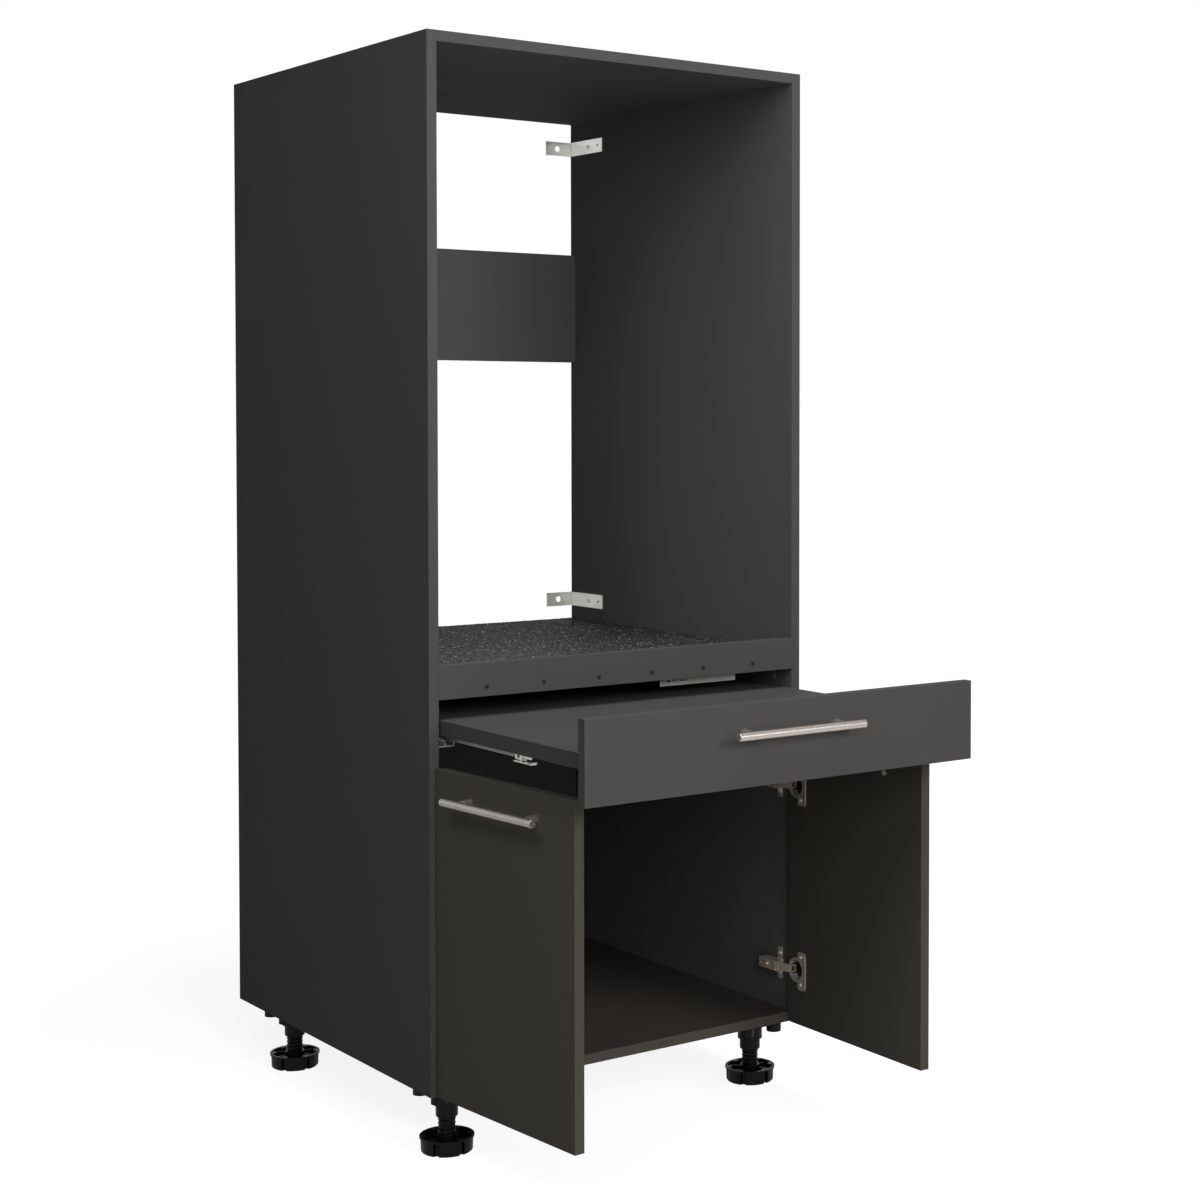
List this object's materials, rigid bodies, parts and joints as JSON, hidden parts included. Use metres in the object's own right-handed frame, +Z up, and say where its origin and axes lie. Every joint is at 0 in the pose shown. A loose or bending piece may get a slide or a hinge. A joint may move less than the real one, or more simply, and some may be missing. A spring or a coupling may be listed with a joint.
{
  "type": "laundry room cabinet",
  "caption": "Tall laundry cabinet on levelling feet: open niche over a heavy shelf with a mat, a pull-out board, and a two-door cupboard below.",
  "frame": {"origin": "on the floor, under the middle of the carcass's width and depth", "axes": "+X to the cabinet's right as seen from in front, +Y to the wall, +Z up"},
  "size_m": [0.7181, 1.124, 1.642],
  "materials": {
    "anthracite_board": "matt melamine-faced chipboard with matching edge banding",
    "granulate_mat": "rough black rubber granulate with paler specks",
    "zinc_steel": "zinc-plated sheet, satin",
    "nickel_steel": "nickel-plated, satin, slightly warm",
    "handle_steel": "fine brushed",
    "black_plastic": "moulded, slight sheen",
    "cage_plastic": "moulded",
    "beech": "bare wood",
    "black_screw": "black passivated"
  },
  "bodies": {
    "carcass": {"side_panel_left": "anthracite_board", "side_panel_right": "anthracite_board", "top_panel": "anthracite_board", "bottom_panel": "anthracite_board", "back_panel": "anthracite_board", "back_rail": "anthracite_board", "appliance_shelf": "anthracite_board", "front_rail": "anthracite_board", "anti_slip_mat": "granulate_mat", "carcass_dowels": "beech", "front_rail_screws": "black_screw", "foot_socket_screws": "black_screw", "shelf_angle_left": "zinc_steel", "shelf_angle_right": "zinc_steel", "punched_angle": "zinc_steel", "wall_bracket_upper_left": "zinc_steel", "wall_bracket_upper_right": "zinc_steel", "wall_bracket_lower_left": "zinc_steel", "wall_bracket_lower_right": "zinc_steel", "wall_bracket_screws": "zinc_steel", "shelf_angle_screws": "zinc_steel", "runner_screws": "zinc_steel", "cabinet_rail_left": "zinc_steel", "cabinet_rail_right": "zinc_steel", "hinge_plates_left": "nickel_steel", "hinge_plates_right": "nickel_steel", "hinge_arms_left": "nickel_steel", "hinge_arms_right": "nickel_steel", "hinge_plate_screws": "nickel_steel", "foot_sockets": "black_plastic"},
    "pullout": {"pullout_front": "anthracite_board", "pullout_board": "anthracite_board", "pullout_dowels": "beech", "pullout_handle": "handle_steel", "pullout_handle_screws": "zinc_steel", "slide_rail_left": "zinc_steel", "slide_rail_right": "zinc_steel", "rail_clip_left": "zinc_steel", "rail_clip_right": "zinc_steel"},
    "cage_left": {"roller_cage_left": "cage_plastic"},
    "cage_right": {"roller_cage_right": "cage_plastic"},
    "link_left": {"hinge_links_left": "nickel_steel"},
    "link_right": {"hinge_links_right": "nickel_steel"},
    "door_left": {"door_left": "anthracite_board", "hinge_cups_left": "nickel_steel", "hinge_cup_screws_left": "nickel_steel", "door_handle_left": "handle_steel", "door_handle_screws_left": "zinc_steel"},
    "door_right": {"door_right": "anthracite_board", "hinge_cups_right": "nickel_steel", "hinge_cup_screws_right": "nickel_steel", "door_handle_right": "handle_steel", "door_handle_screws_right": "zinc_steel"},
    "foot_front_left": {"foot_front_left": "black_plastic"},
    "foot_front_right": {"foot_front_right": "black_plastic"},
    "foot_rear_left": {"foot_rear_left": "black_plastic"},
    "foot_rear_right": {"foot_rear_right": "black_plastic"}
  },
  "joints": [
    {"name": "pullout_slide", "type": "slide", "parent": "carcass", "child": "pullout", "axis": [0, -1, 0], "range_m": [-0.397, 0]},
    {"name": "cage_left_slide", "type": "slide", "parent": "carcass", "child": "cage_left", "axis": [0, -1, 0], "range_m": [-0.1986, 0.0001]},
    {"name": "cage_right_slide", "type": "slide", "parent": "carcass", "child": "cage_right", "axis": [0, -1, 0], "range_m": [-0.1986, 0.0001]},
    {"name": "link_left_swing", "type": "hinge", "parent": "carcass", "child": "link_left", "pos_m": [-0.305, -0.324, 0.3425], "axis": [0, 0, -1], "range_deg": [-3.17, 28.9]},
    {"name": "door_left_swing", "type": "hinge", "parent": "link_left", "child": "door_left", "pos_m": [-0.31469, -0.35048, 0.3425], "axis": [0, 0, -1], "range_deg": [-114.75, 12.82]},
    {"name": "link_right_swing", "type": "hinge", "parent": "carcass", "child": "link_right", "pos_m": [0.305, -0.324, 0.3425], "axis": [0, 0, 1], "range_deg": [-2.02, 30.04]},
    {"name": "door_right_swing", "type": "hinge", "parent": "link_right", "child": "door_right", "pos_m": [0.31416, -0.35067, 0.3425], "axis": [0, 0, 1], "range_deg": [-119.29, 8.28]},
    {"name": "foot_front_left_height", "type": "slide", "parent": "carcass", "child": "foot_front_left", "axis": [0, 0, -1], "range_m": [-0.01, 0.015]},
    {"name": "foot_front_right_height", "type": "slide", "parent": "carcass", "child": "foot_front_right", "axis": [0, 0, -1], "range_m": [-0.01, 0.015]},
    {"name": "foot_rear_left_height", "type": "slide", "parent": "carcass", "child": "foot_rear_left", "axis": [0, 0, -1], "range_m": [-0.01, 0.015]},
    {"name": "foot_rear_right_height", "type": "slide", "parent": "carcass", "child": "foot_rear_right", "axis": [0, 0, -1], "range_m": [-0.01, 0.015]}
  ],
  "couplings": [
    {"joint": "cage_left_slide", "follows": "pullout_slide", "ratio": 0.5},
    {"joint": "cage_right_slide", "follows": "pullout_slide", "ratio": 0.5},
    {"joint": "door_left_swing", "follows": "link_left_swing", "ratio": -3.9623},
    {"joint": "door_right_swing", "follows": "link_right_swing", "ratio": -3.9623}
  ]
}
